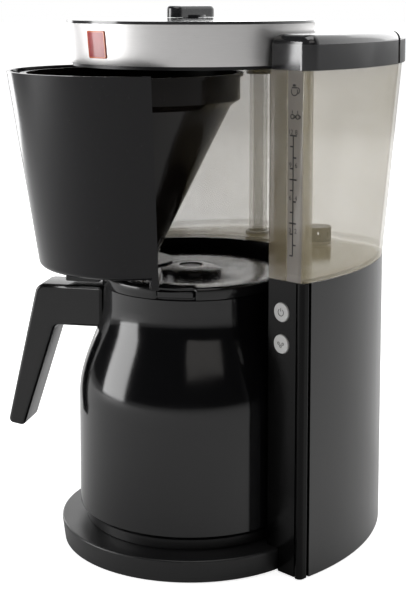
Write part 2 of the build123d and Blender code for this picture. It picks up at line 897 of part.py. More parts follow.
swing_axis = Axis((swing_centre.X, swing_centre.Y, 0), (0, 0, 1))
low_z = filter_bottom - 20.0
high_z = filter_top + 20.0

with BuildPart() as flange:
    add(shell_profile(0.0, flange_w, filter_bottom - flange_drop, filter_top))
    revolve(axis=swing_axis)
    add(front_half(0.0, low_z, high_z), mode=Mode.INTERSECT)
    add(front_half(flange_t, low_z, high_z), mode=Mode.SUBTRACT)

arm_levels = (filter_bottom + 4.0, filter_top - sleeve_h - 1.0)
with BuildPart() as filter_shell:
    add(shell_profile(0.0, cone_r(filter_bottom), filter_bottom, filter_top))
    revolve(axis=swing_axis)
    fillet(filter_shell.edges().group_by(Axis.Z)[0], 4.0)
    with BuildSketch(swung_side()):
        Polygon(
            (0, filter_bottom + shell_t),
            (cone_r(filter_bottom) - shell_t - 2.0, filter_bottom + shell_t),
            (cone_r(filter_bottom + 6.0) - shell_t, filter_bottom + shell_t + 4.0),
            (cone_r(filter_top + 5.0) - shell_t, filter_top + 5.0),
            (0, filter_top + 5.0),
            align=None,
        )
    revolve(axis=swing_axis, mode=Mode.SUBTRACT)
    add(front_half(0.0, low_z, high_z), mode=Mode.INTERSECT)
    add(flange.part)
    with BuildSketch(swung(filter_bottom)):
        Circle(basket_foot_r + 10.0)
    extrude(amount=shell_t)
    with BuildSketch(swung(filter_bottom - 1.0)):
        Circle(basket_foot_r - 4.0)
    extrude(amount=2 * shell_t, mode=Mode.SUBTRACT)
    for z in arm_levels:
        reach = cone_r(z) - flange_w + 1.5
        with BuildSketch(swung(z)):
            Polygon(
                (hinge_x - sleeve_r, hinge_y),
                (hinge_x - sleeve_r + 1.0, hinge_y - sleeve_r),
                (-reach - 2.0, seam_top_y - 6.0),
                (-reach, seam_top_y - 3.0),
                (-reach, seam_top_y + 2.0),
                (hinge_x + sleeve_r, hinge_y + 1.0),
                align=None,
            )
            with Locations((hinge_x, hinge_y)):
                Circle(sleeve_r)
                Circle(pin_r + 0.8, mode=Mode.SUBTRACT)
        extrude(amount=sleeve_h)
save(filter_shell, "filter_shell")

with BuildPart() as bushes:
    for z in arm_levels:
        with BuildSketch(swung(z)):
            with Locations((hinge_x, hinge_y)):
                Circle(pin_r + 0.78)
                Circle(pin_r + 0.05, mode=Mode.SUBTRACT)
        extrude(amount=sleeve_h)
save(bushes, "filter_hinge_bushes")

with BuildPart() as hinge_pins:
    for z in arm_levels:
        with BuildSketch(level(z - 3.0)):
            with Locations((hinge_x, hinge_y)):
                Circle(pin_r)
        extrude(amount=sleeve_h + 3.0)
save(hinge_pins, "filter_hinge_pins")

# ---------------------------------------------------------------- filter basket
basket_rim_r = shell_top_r - shell_t - basket_gap - 3.0
basket_rim_z = filter_top - 1.5
basket_low = filter_bottom + shell_t + 0.2
skirt_r = basket_rim_r - 2.0

with BuildPart() as basket:
    with BuildSketch(swung_side()):
        Polygon(
            (0, basket_low),
            (basket_foot_r, basket_low),
            (basket_foot_r + 2.0, basket_low + 8.0),
            (skirt_r - 6.0, basket_rim_z - basket_rim_h - 4.0),
            (skirt_r, basket_rim_z - basket_rim_h),
            (skirt_r, basket_rim_z - 2.0),
            (basket_rim_r, basket_rim_z - 2.0),
            (basket_rim_r, basket_rim_z),
            (0, basket_rim_z),
            align=None,
        )
    revolve(axis=swing_axis)
    with BuildSketch(swung_side()):
        Polygon(
            (0, basket_low + basket_t),
            (basket_foot_r - basket_t, basket_low + basket_t),
            (basket_foot_r + 2.0 - basket_t, basket_low + 8.0),
            (skirt_r - 6.0 - basket_t, basket_rim_z - basket_rim_h - 4.0),
            (skirt_r - basket_t, basket_rim_z - basket_rim_h),
            (skirt_r - basket_t, basket_rim_z + 1.0),
            (0, basket_rim_z + 1.0),
            align=None,
        )
    revolve(axis=swing_axis, mode=Mode.SUBTRACT)
    with BuildSketch(swung(basket_low - 1.0)):
        Circle(valve_r + run)
    extrude(amount=2 * basket_t + 2.0, mode=Mode.SUBTRACT)
save(basket, "filter_basket")

# ---------------------------------------------------------------- drip stop
valve_low = column_top - 0.2
with BuildPart() as drip_valve:
    with BuildSketch(swung(valve_low)):
        Circle(valve_r)
    extrude(amount=basket_low + basket_t + 1.0 - valve_low)
    with BuildSketch(swung(basket_low + basket_t + 1.0)):
        Circle(valve_r + 3.0)
    extrude(amount=2.0)
    fillet(drip_valve.edges().group_by(Axis.Z)[0], 1.5)
save(drip_valve, "drip_stop_valve")

with BuildPart() as valve_seal:
    with BuildSketch(swung(basket_low + basket_t + 0.05)):
        Circle(valve_r + 2.6)
        Circle(valve_r + run, mode=Mode.SUBTRACT)
    extrude(amount=0.9)
save(valve_seal, "drip_stop_seal")

spring_low = basket_low + basket_t + 3.1
with BuildPart() as valve_cage:
    with BuildSketch(swung(spring_low + 10.0)):
        Circle(valve_r + 4.6)
    extrude(amount=1.5)
    with BuildSketch(swung(basket_low + basket_t + 0.1)):
        with PolarLocations(valve_r + 4.1, 3):
            Rectangle(1.8, 3.0)
    extrude(amount=spring_low + 10.0 - basket_low - basket_t)
save(valve_cage, "drip_stop_cage")

with BuildPart() as valve_spring:
    with BuildSketch(swung(spring_low)):
        Circle(4.2)
        Circle(3.4, mode=Mode.SUBTRACT)
    extrude(amount=9.8)
save(valve_spring, "drip_stop_spring")

# ---------------------------------------------------------------- jug
jug_floor = jug_bottom + jug_ring_h + gap
foot_round = 3.0
shoulder_low = column_top - 90.0
neck_low = column_top - 36.0
neck_top = collar_bottom - 0.4


def jug_outline(inset):
    """Half section of the jug down to its floor, moved inwards by inset."""
    with BuildSketch(Plane.XZ) as outline:
        with BuildLine():
            Polyline(
                (0, jug_floor + inset),
                (jug_r - foot_round - inset, jug_floor + inset),
                (jug_r - inset, jug_floor + foot_round + inset),
                (jug_r - inset, shoulder_low),
            )
            Spline(
                (jug_r - inset, shoulder_low),
                (jug_r - 4.9 - inset, shoulder_low + 26.0),
                (jug_r - 11.5 - inset, shoulder_low + 43.0),
                (jug_neck_r - inset, neck_low + 10.0),
                tangents=((0, 1), (0, 1)),
            )
            Polyline(
                (jug_neck_r - inset, neck_low + 10.0),
                (jug_neck_r - inset, neck_top),
                (0, neck_top),
                (0, jug_floor + inset),
            )
        make_face()
    return outline.sketch


def jug_solid(inset):
    """The jug's outline turned round its axis."""
    with BuildPart() as solid:
        add(jug_outline(inset))
        revolve(axis=Axis.Z)
    return solid.part


with BuildPart() as mouth:
    with BuildSketch(level(neck_top - 12.0)):
        Circle(jug_neck_r - liner_gap - liner_t)
    extrude(amount=20.0)

screw_r = 1.5
screw_head_r = 2.6
screw_head_t = 1.1
screw_head_out = jug_neck_r - jug_wall - 0.9
screw_tip = jug_neck_r + 7.5


def screw_rods(radius, start, end):
    """Two round rods side by side along the handle, between two distances from the jug's axis."""
    middle = (start * cos_h, start * sin_h, handle_top - handle_bar_h / 2)
    with BuildPart() as rods:
        with BuildSketch(Plane(origin=middle, x_dir=(sin_h, -cos_h, 0), z_dir=(cos_h, sin_h, 0))):
            with Locations((-7.0, 0), (7.0, 0)):
                Circle(radius)
        extrude(amount=end - start)
    return rods.part


with BuildPart() as jug_body:
    add(jug_solid(0.0))
    add(jug_solid(jug_wall), mode=Mode.SUBTRACT)
    add(screw_rods(screw_r + 0.2, screw_head_out, screw_tip), mode=Mode.SUBTRACT)
    with BuildSketch(level(neck_top - 10.0)):
        Circle(jug_neck_r - jug_wall)
    extrude(amount=20.0, mode=Mode.SUBTRACT)
save(jug_body, "jug_body")

with BuildPart() as jug_liner:
    add(jug_solid(liner_gap))
    add(jug_solid(liner_gap + liner_t), mode=Mode.SUBTRACT)
    add(mouth.part, mode=Mode.SUBTRACT)
save(jug_liner, "jug_liner")

with BuildPart() as jug_base:
    with BuildSketch(level(jug_bottom)):
        Circle(jug_r - 4.5)
        Circle(jug_r - 16.0, mode=Mode.SUBTRACT)
    extrude(amount=jug_ring_h)
save(jug_base, "jug_base_ring")

with BuildPart() as neck_ring:
    with BuildSketch(level(neck_top - 9.0)):
        Circle(jug_neck_r - jug_wall - 0.1)
        Circle(jug_neck_r - liner_gap + 0.1, mode=Mode.SUBTRACT)
    extrude(amount=8.8)
save(neck_ring, "jug_neck_ring")

with BuildPart() as jug_handle:
    with BuildSketch(handle_side()):
        with BuildLine():
            Polyline(
                (jug_neck_r - 6.0, handle_top - handle_bar_h),
                (jug_neck_r - 6.0, handle_top),
                (handle_reach - 4.0, handle_top),
                (handle_reach, handle_top - 4.0),
                (handle_reach + handle_lean, handle_low_z + 2.0),
                (handle_reach + handle_lean - handle_t, handle_low_z),
                (handle_reach - handle_t - 1.0, handle_top - handle_bar_h),
                (jug_neck_r - 6.0, handle_top - handle_bar_h),
            )
        make_face()
    extrude(amount=handle_w / 2, both=True)
    fillet(jug_handle.edges().filter_by(Axis((0, 0, 0), (sin_h, -cos_h, 0))), 1.9)
    add(jug_solid(-0.2), mode=Mode.SUBTRACT)
    add(screw_rods(screw_r + 0.2, screw_head_out, screw_tip + 0.5), mode=Mode.SUBTRACT)
save(jug_handle, "jug_handle")

with BuildPart() as handle_screws:
    add(screw_rods(screw_r, screw_head_out, screw_tip))
    add(screw_rods(screw_head_r, screw_head_out - screw_head_t, screw_head_out))
save(handle_screws, "handle_screws")

# ---------------------------------------------------------------- jug lid
lid_r = jug_neck_r + 0.5
with BuildPart() as jug_lid:
    with BuildSketch(Plane.XZ):
        Polygon(
            (0, collar_bottom + 1.0),
            (lid_r - 7.0, collar_bottom + 1.0),
            (lid_r - 7.0, collar_bottom),
            (lid_r, collar_bottom),
            (lid_r, collar_top),
            (lid_r - 3.0, collar_top + 1.2),
            (dome_r + 5.0, collar_top + 0.2),
            (0, collar_top + 0.2),
            align=None,
        )
    revolve(axis=Axis.Z)
    with BuildSketch(level(collar_bottom - 9.0)):
        Circle(jug_neck_r - liner_gap - liner_t - 1.2)
    extrude(amount=10.0)
    with BuildSketch(level(collar_bottom - 10.0)):
        Circle(jug_neck_r - liner_gap - liner_t - 3.2)
    extrude(amount=11.0 + 3.0, mode=Mode.SUBTRACT)
    with BuildSketch(level(collar_top - 2.6)):
        Circle(dome_r - 6.0)
    extrude(amount=10.0, mode=Mode.SUBTRACT)
save(jug_lid, "jug_lid")

with BuildPart() as lid_seal:
    with BuildSketch(level(collar_bottom - 6.0)):
        Circle(jug_neck_r - liner_gap - liner_t - 0.4)
        Circle(jug_neck_r - liner_gap - liner_t - 1.15, mode=Mode.SUBTRACT)
    extrude(amount=3.0)
save(lid_seal, "jug_lid_seal")

dome_top = lid_top - dome_drop
with BuildPart() as lid_dome:
    with BuildSketch(Plane.XZ):
        with BuildLine():
            Polyline((8.0, collar_top + 0.3), (dome_r, collar_top + 0.3), (dome_r, dome_top - 2.1))
            ThreePointArc((dome_r, dome_top - 2.1), (0.7 * dome_r, dome_top - 0.3), (8.0, dome_top))
            Line((8.0, dome_top), (8.0, collar_top + 0.3))
        make_face()
    revolve(axis=Axis.Z)
save(lid_dome, "jug_lid_dome")

lever_low = handle_top + 2.2
lever_over = collar_top + 2.6
lever_end = handle_reach - 20.0
with BuildPart() as pour_lever:
    with BuildSketch(handle_side()):
        Polygon(
            (dome_r + 7.0, lever_over),
            (dome_r + 7.0, lever_over + 1.5),
            (lid_r - 2.0, lever_over + 1.7),
            (lid_r + 8.0, handle_top + 10.5),
            (lever_end - 2.0, handle_top + 8.2),
            (lever_end, handle_top + 6.2),
            (lever_end, lever_low),
            (lid_r + 1.2, lever_low),
            (lid_r + 1.2, lever_over),
            align=None,
        )
        with Locations((lever_pivot, lever_over + lever_pivot_up)):
            Circle(lever_pivot_r)
    extrude(amount=lever_w / 2, both=True)
save(pour_lever, "pour_lever")

with BuildPart() as lid_valve:
    with BuildSketch(level(collar_top - 2.4)):
        Circle(7.4)
    extrude(amount=6.0)
save(lid_valve, "jug_lid_valve")
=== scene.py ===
"""Drip coffee maker: clear water tank, swing-out filter and a thermal jug on a round stand.

Everything is in metres in the shared frame: +Z up, +Y to the back, the origin on the floor
on the axis that the jug and the brew head share.
"""

import math

import bpy
import numpy as np
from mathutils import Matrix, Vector


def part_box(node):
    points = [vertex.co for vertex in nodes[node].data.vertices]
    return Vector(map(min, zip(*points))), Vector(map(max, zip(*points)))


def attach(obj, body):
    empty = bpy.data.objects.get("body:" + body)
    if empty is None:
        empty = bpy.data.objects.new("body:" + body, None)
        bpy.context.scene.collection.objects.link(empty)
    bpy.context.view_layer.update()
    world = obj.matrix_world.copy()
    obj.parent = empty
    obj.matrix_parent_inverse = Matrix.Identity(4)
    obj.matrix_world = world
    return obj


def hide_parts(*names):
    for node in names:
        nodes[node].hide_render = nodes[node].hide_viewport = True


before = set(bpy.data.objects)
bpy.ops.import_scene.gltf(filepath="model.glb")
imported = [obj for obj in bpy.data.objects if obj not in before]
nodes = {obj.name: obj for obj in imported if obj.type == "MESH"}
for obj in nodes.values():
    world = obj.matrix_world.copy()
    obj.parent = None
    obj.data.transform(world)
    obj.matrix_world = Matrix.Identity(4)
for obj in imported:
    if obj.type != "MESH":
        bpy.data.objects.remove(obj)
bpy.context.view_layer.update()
MM = 0.001

# ---------------------------------------------------------------- places taken from the frame
tank_lo, tank_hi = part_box("water_tank")
lid_lo, lid_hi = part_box("jug_lid")
handle_lo, handle_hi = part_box("jug_handle")
lever_lo, lever_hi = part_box("pour_lever")
power_lo, power_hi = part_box("power_button")
descale_lo, descale_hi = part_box("descale_button")
badge_lo, badge_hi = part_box("front_badge")


# ---------------------------------------------------------------- camera
def unit(azimuth, tilt=0.0):
    """Direction from the object's axis: azimuth 0 is the front, 90 the right, tilt is upwards.

    Both are in degrees. The direction is (sin a cos t, -cos a cos t, sin t).
    """
    a, t = math.radians(azimuth), math.radians(tilt)
    return Vector((math.sin(a) * math.cos(t), -math.cos(a) * math.cos(t), math.sin(t)))


sensor_width = 36.0
lens_length = 79.58
frame_shift = -0.24
camera_place = (0.62805, -0.60294, 0.361)
look_down = 0.11892  # radians below level
look_turn = 0.79656  # radians about the upright axis

camera_data = bpy.data.cameras.new("studio_camera")
camera = bpy.data.objects.new("studio_camera", camera_data)
bpy.context.scene.collection.objects.link(camera)
camera_data.sensor_width = sensor_width
camera_data.lens = lens_length
camera_data.shift_y = frame_shift
camera.location = camera_place
camera.rotation_euler = (math.radians(90.0) - look_down, 0.0, look_turn)
bpy.context.scene.camera = camera


# ---------------------------------------------------------------- shader maths
class Value:
    """One socket of a material. Arithmetic on values adds Math nodes."""

    def __init__(self, finish, socket):
        self.finish = finish
        self.socket = socket

    def maths(self, operation, *inputs):
        settings = {"operation": operation}
        return self.finish.node("ShaderNodeMath", settings, dict(enumerate(inputs)))

    def __add__(self, other):
        return self.maths("ADD", self, other)

    def __sub__(self, other):
        return self.maths("SUBTRACT", self, other)

    def __rsub__(self, other):
        return self.maths("SUBTRACT", other, self)

    def __mul__(self, other):
        return self.maths("MULTIPLY", self, other)

    def __pow__(self, other):
        return self.maths("POWER", self, other)

    __radd__ = __add__
    __rmul__ = __mul__

    def clamp(self):
        return self.finish.node("ShaderNodeClamp", {}, {"Value": self})

    def between(self, low, high):
        """0 below low and 1 above high, with a smooth step between them."""
        settings = {"interpolation_type": "SMOOTHSTEP"}
        ends = {"Value": self, "From Min": low, "From Max": high}
        return self.finish.node("ShaderNodeMapRange", settings, ends)


class Finish:
    """A material built round one Principled shader."""

    def __init__(self, name, colour, rough, **numbers):
        self.material = bpy.data.materials.new(name)
        self.material.use_nodes = True
        self.tree = self.material.node_tree
        self.shader = next(n for n in self.tree.nodes if n.type == "BSDF_PRINCIPLED")
        self.set("Base Color", (*colour, 1.0))
        self.set("Roughness", rough)
        for label, number in numbers.items():
            self.set(label.replace("_", " "), number)

    def set(self, label, value):
        """Puts a constant or a Value on one socket of the shader."""
        if isinstance(value, Value):
            self.tree.links.new(value.socket, self.shader.inputs[label])
        else:
            self.shader.inputs[label].default_value = value
        return self

    def node(self, kind, settings, inputs, output=None):
        """Adds a node: its settings first, then what goes into its sockets."""
        made = self.tree.nodes.new(kind)
        for key, value in settings.items():
            setattr(made, key, value)
        for key, value in inputs.items():
            live = [s for s in made.inputs if s.enabled]
            numbered = isinstance(key, int)
            socket = live[key] if numbered else next(s for s in live if s.name == key)
            if isinstance(value, Value):
                self.tree.links.new(value.socket, socket)
            else:
                socket.default_value = value
        live = [s for s in made.outputs if s.enabled]
        chosen = live[0] if output is None else next(s for s in live if s.name == output)
        return Value(self, chosen)

    def place(self, scale=(1.0, 1.0, 1.0)):
        """Object coordinates, stretched by scale along each axis."""
        where = self.node("ShaderNodeTexCoord", {}, {}, "Object")
        return self.node("ShaderNodeMapping", {}, {"Vector": where, "Scale": scale})

    def axis(self, name):
        """One Object coordinate in metres."""
        where = self.node("ShaderNodeTexCoord", {}, {}, "Object")
        return self.node("ShaderNodeSeparateXYZ", {}, {"Vector": where}, name)

    def noise(self, size, detail=2.0, stretch=(1.0, 1.0, 1.0), rough=0.5):
        """Soft noise whose grain is about size metres, longer along axes with a small stretch."""
        inputs = {"Vector": self.place(stretch), "Scale": 1.0 / size}
        inputs.update({"Detail": detail, "Roughness": rough})
        return self.node("ShaderNodeTexNoise", {}, inputs)

    def mix(self, factor, a, b):
        """Colour a where factor is 0 and colour b where it is 1."""
        colours = [c if isinstance(c, Value) else (*c, 1.0) for c in (a, b)]
        inputs = {"Factor": factor, "A": colours[0], "B": colours[1]}
        return self.node("ShaderNodeMix", {"data_type": "RGBA"}, inputs)

    def bump(self, height, distance, strength=1.0):
        """Raises and lowers the surface by height, which is 0 to 1, times distance in metres."""
        inputs = {"Height": height, "Distance": distance, "Strength": strength}
        return self.set("Normal", self.node("ShaderNodeBump", {}, inputs))


# ---------------------------------------------------------------- finishes
def gloss_plastic(name, colour, rough, wave=0.00002, shine=0.5):
    """Polished black plastic: slow moulding waves, faint wipe marks and a little dust."""
    f = Finish(name, colour, rough, Specular_IOR_Level=shine)
    wipe = f.noise(0.03, 3.0, (1.0, 1.0, 0.35))
    dust = f.noise(0.0011, 2.0).between(0.66, 0.78)
    f.set("Roughness", (rough + wipe.between(0.45, 0.8) * 0.05 + dust * 0.16).clamp())
    f.set("Base Color", f.mix(dust * 0.35, colour, tuple(c + 0.03 for c in colour)))
    f.bump(f.noise(0.02, 1.0), wave)
    return f.material


def satin_plastic(name, colour, rough=0.38, grain=0.0006, depth=0.00003):
    """Fine-grained moulded plastic with a slightly uneven sheen."""
    f = Finish(name, colour, rough)
    fine = f.noise(grain, 2.0, rough=0.6)
    broad = f.noise(0.025, 3.0)
    darker, lighter = (tuple(c * k for c in colour) for k in (0.8, 1.2))
    f.set("Base Color", f.mix(fine, darker, lighter))
    f.set("Roughness", (rough + (broad - 0.5) * 0.14 + (fine - 0.5) * 0.08).clamp())
    f.bump(fine, depth)
    return f.material


def brushed_metal(name, colour, rough, stretch, depth=0.000004, grain=0.0004, spread=0.8):
    """Steel with fine lines that run along the axes whose stretch is small."""
    f = Finish(name, colour, rough, Metallic=1.0, Anisotropic=spread)
    lines = f.noise(grain, 2.0, stretch, 0.7)
    patches = f.noise(0.02, 2.0, (1.0, 1.0, 0.2))
    f.set("Base Color", f.mix(lines, tuple(c * 0.9 for c in colour), colour))
    f.set("Roughness", (rough + (lines - 0.5) * 0.08 + (patches - 0.5) * 0.06).clamp())
    f.bump(lines, depth)
    return f.material


# painted shade: the brown and the grey stand in for the dark inside seen through the tank's arm
arm_painted_shade = (0.19, 0.155, 0.10)
scale_strip_painted_shade = (0.22, 0.20, 0.185)
# the grey strip of painted shade behind the level scale, measured from the tank's right side
scale_left = tank_hi.x - 18.2 * MM
scale_right = tank_hi.x - 6.1 * MM


def clear_plastic(name, colour, tint, rough=0.07, shade_arm_front=False):
    """Smoke-tinted clear plastic, faintly cloudy, whose wall hides more where it is seen edge-on.

    With the front-shading option, painted shade darkens the flat front of the arm to brown,
    standing in for the dark inside seen through it, with a grey strip of painted shade behind the
    level scale; the lowest few millimetres of the tank are also less clear.
    """
    f = Finish(name, colour, rough, IOR=1.49)
    edge = f.node("ShaderNodeLayerWeight", {}, {"Blend": 0.35}, "Facing")
    cloud = f.noise(0.03, 3.0)
    alpha = tint + edge**4.0 * 0.55 + (cloud - 0.5) * 0.03
    shade = f.mix(cloud, tuple(c * 0.96 for c in colour), colour)
    if shade_arm_front:
        front = 1.0 - f.axis("Y").between(tank_lo.y + 0.0004, tank_lo.y + 0.0012)
        across = f.axis("X")
        past_right = across.between(scale_right, scale_right + 0.0006)
        strip = across.between(scale_left, scale_left + 0.0003) * (1.0 - past_right)
        inner = 1.0 - across.between(scale_left - 0.0007, scale_left - 0.0005)
        # painted shade on the arm's front and on the strip behind the level scale
        shade = f.mix(front * inner, shade, arm_painted_shade)
        shade = f.mix(front * strip, shade, scale_strip_painted_shade)
        low = 1.0 - f.axis("Z").between(tank_lo.z + 0.004, tank_lo.z + 0.0055)
        alpha = alpha + front * inner * 0.34 + front * strip * 0.42 + low * 0.1
    f.set("Alpha", alpha.clamp())
    f.set("Base Color", shade)
    f.set("Roughness", (rough + cloud.between(0.4, 0.8) * 0.06).clamp())
    f.bump(f.noise(0.03, 1.0), 0.00003)
    return f.material


def rubbery(name, colour, rough=0.6):
    """Matt rubber or silicone with a powdery surface."""
    f = Finish(name, colour, rough)
    powder = f.noise(0.0008, 3.0)
    darker, lighter = (tuple(c * k for c in colour) for k in (0.85, 1.15))
    f.set("Base Color", f.mix(powder, darker, lighter))
    f.set("Roughness", (rough + (powder - 0.5) * 0.2).clamp())
    f.bump(powder, 0.00002)
    return f.material


def enamel(name, colour, border):
    """Glossy enamel plate with a thin lighter border along its edges."""
    f = Finish(name, colour, 0.2, Coat_Weight=0.4)
    middle, half_span = (badge_lo + badge_hi) / 2, (badge_hi - badge_lo) / 2
    rim = 0.0
    for axis, centre, edge in (("X", middle.x, half_span.x), ("Z", middle.z, half_span.z)):
        away = f.node("ShaderNodeMath", {"operation": "ABSOLUTE"}, {0: f.axis(axis) - centre})
        rim = away.between(edge - 0.0011, edge - 0.0008) + rim
    cloud = f.noise(0.004, 2.0)
    face = f.mix(cloud, tuple(c * 0.8 for c in colour), colour)
    f.set("Base Color", f.mix(rim.clamp(), face, border))
    f.set("Roughness", (0.16 + cloud * 0.12).clamp())
    f.bump(cloud, 0.00002)
    return f.material


jug_black = gloss_plastic("jug_lacquer", (0.003, 0.003, 0.0035), 0.11, 0.00002, 0.55)
cover_black = gloss_plastic("cover_gloss", (0.02, 0.02, 0.0215), 0.12, 0.00002, 1.0)
# a darker, barely reflective copy of the column's gloss black: painted shade for the shadowed bay
# under the filter, also used on the corner trims
shaded_front_black = gloss_plastic("column_front_painted_shade", (0.0015, 0.0015, 0.0015), 0.14, 0.00002, 0.14)
side_black = gloss_plastic("column_side_gloss", (0.0035, 0.0035, 0.0035), 0.15, 0.00003, 0.9)
filter_black = gloss_plastic("filter_gloss", (0.0035, 0.0032, 0.0042), 0.13, 0.00003, 0.3)
basket_black = gloss_plastic("basket_gloss", (0.0055, 0.0042, 0.0035), 0.14, 0.00004, 0.3)
# the knob's dark grey is lightened past its own colour: partly painted reflection of the light it
# picks up
knob_sheen_grey = gloss_plastic("knob_gloss", (0.02, 0.021, 0.024), 0.22, shine=0.9)
stand_black = satin_plastic("stand_satin", (0.009, 0.009, 0.0095), 0.36, 0.0007)
handle_black = satin_plastic("handle_satin", (0.004, 0.004, 0.0042), 0.24, 0.0005, 0.00001)
lid_black = satin_plastic("lid_satin", (0.006, 0.006, 0.0062), 0.16, 0.0005, 0.00001)
head_black = satin_plastic("brew_head_satin", (0.01, 0.01, 0.011), 0.35)
deck_blue = satin_plastic("deck_blue_grey", (0.075, 0.08, 0.1), 0.45)
inner_black = satin_plastic("inner_moulding", (0.03, 0.034, 0.042), 0.5)
bottom_black = satin_plastic("bottom_moulding", (0.02, 0.02, 0.02), 0.55, 0.001)
steel_band = brushed_metal("brushed_band", (0.72, 0.71, 0.705), 0.3, (0.04, 0.04, 1.0))
steel_liner = brushed_metal("spun_liner", (0.62, 0.62, 0.63), 0.25, (0.05, 0.05, 1.0))
steel_parts = brushed_metal("pressed_steel", (0.5, 0.5, 0.51), 0.35, (1.0, 1.0, 0.1))
alloy = brushed_metal("cast_alloy", (0.55, 0.55, 0.56), 0.5, (1.0, 1.0, 1.0), 0.00006, 0.0008, 0.0)
tank_clear = clear_plastic("tank_smoke", (0.50, 0.43, 0.27), 0.28, shade_arm_front=True)
riser_clear = clear_plastic("riser_smoke", (0.55, 0.52, 0.45), 0.22)
rubber_black = rubbery("foot_rubber", (0.02, 0.02, 0.02))
silicone_grey = rubbery("grey_silicone", (0.34, 0.35, 0.37), 0.5)
silicone_white = rubbery("milky_silicone", (0.62, 0.62, 0.58), 0.45)
collar_blue = satin_plastic("collar_blue_black", (0.022, 0.03, 0.045), 0.4)
riser_beige = satin_plastic("riser_beige", (0.42, 0.39, 0.33), 0.35)
button_silver = satin_plastic("silver_paint", (0.46, 0.46, 0.45), 0.32, 0.0003, 0.00001)
badge_red = enamel("red_enamel", (0.45, 0.006, 0.006), (0.62, 0.10, 0.015))
board_green = satin_plastic("board_green", (0.02, 0.14, 0.05), 0.35)
ceramic_white = satin_plastic("ceramic_white", (0.7, 0.69, 0.64), 0.4)
valve_white = satin_plastic("valve_white", (0.6, 0.6, 0.57), 0.4)
print_dark = satin_plastic("dark_print", (0.002, 0.002, 0.002), 0.7, 0.0003)

finish_of = {
    "jug_stand": stand_black,
    "bottom_cover": bottom_black,
    "feet": rubber_black,
    "base_screws": steel_parts,
    "bay_wall": shaded_front_black,
    "side_covers": side_black,
    "rear_cover": side_black,
    "corner_trims": shaded_front_black,
    "mains_gland": rubber_black,
    "column_deck": deck_blue,
    "flow_heater": alloy,
    "heater_bracket": steel_parts,
    "thermostat": steel_parts,
    "thermal_fuse": ceramic_white,
    "hot_water_hose": silicone_white,
    "cold_water_hoses": silicone_white,
    "check_valve": valve_white,
    "hose_clamps": steel_parts,
    "control_board": board_green,
    "button_switches": head_black,
    "water_tank": tank_clear,
    "tank_rear_cap": cover_black,
    "tank_lid_pins": steel_parts,
    "tank_seals": silicone_grey,
    "tank_sieve": deck_blue,
    "tank_outlet": riser_beige,
    "riser_tube": riser_clear,
    "riser_collar": collar_blue,
    "brew_head_shell": head_black,
    "brew_head_band": steel_band,
    "brew_head_lid": cover_black,
    "front_badge": badge_red,
    "spray_plate": head_black,
    "hot_water_elbow": valve_white,
    "filter_hinge_pins": steel_parts,
    "power_button_spring": steel_parts,
    "descale_button_spring": steel_parts,
    "tank_lid": cover_black,
    "strength_selector": knob_sheen_grey,
    "water_diverter": inner_black,
    "filter_shell": filter_black,
    "filter_basket": basket_black,
    "filter_hinge_bushes": valve_white,
    "drip_stop_seal": silicone_grey,
    "drip_stop_cage": head_black,
    "drip_stop_spring": steel_parts,
    "drip_stop_valve": silicone_grey,
    "power_button": button_silver,
    "descale_button": button_silver,
    "jug_body": jug_black,
    "jug_liner": steel_liner,
    "jug_base_ring": stand_black,
    "jug_neck_ring": lid_black,
    "jug_handle": handle_black,
    "handle_screws": steel_parts,
    "jug_lid": lid_black,
    "jug_lid_seal": silicone_grey,
    "jug_lid_dome": lid_black,
    "jug_lid_valve": silicone_grey,
    "pour_lever": handle_black,
}
for name, material in finish_of.items():
    for holder in nodes[name].material_slots:
        holder.material = material


# ---------------------------------------------------------------- mesh helpers
def grid_faces(rows, columns, wrap=True):
    """Quads between neighbouring points of a grid stored row by row; wrap closes each row."""
    r = np.arange(rows - 1)[:, None]
    c = np.arange(columns if wrap else columns - 1)[None, :]
    nxt = (c + 1) % columns
    corners = (r * columns + c, r * columns + nxt, (r + 1) * columns + nxt, (r + 1) * columns + c)
    return np.stack(np.broadcast_arrays(*corners), axis=-1).reshape(-1, 4)


def add_piece(name, points, faces, material, body, smooth=True):
    """A mesh object from an array of points and lists of faces, on one body."""
    mesh = bpy.data.meshes.new(name)
    mesh.from_pydata(points.reshape(-1, 3).tolist(), [], [list(map(int, f)) for f in faces])
    mesh.polygons.foreach_set("use_smooth", [smooth and len(face) == 4 for face in faces])
    mesh.materials.append(material)
    mesh.validate()
    thing = bpy.data.objects.new(name, mesh)
    bpy.context.scene.collection.objects.link(thing)
    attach(thing, body)
    return thing


def round_box(width, height, radius, steps=6):
    """Loop of a rectangle whose corners are quarter circles, each about its own centre."""
    turn = np.linspace(0.0, np.pi / 2, steps)
    quarter = np.concatenate([turn + k * np.pi / 2 for k in range(4)])
    signs = np.array([(1, 1), (-1, 1), (-1, -1), (1, -1)]).repeat(steps, axis=0)
    middle = signs * (np.array([width, height]) / 2 - radius)
    return middle + radius * np.stack([np.cos(quarter), np.sin(quarter)], axis=1)


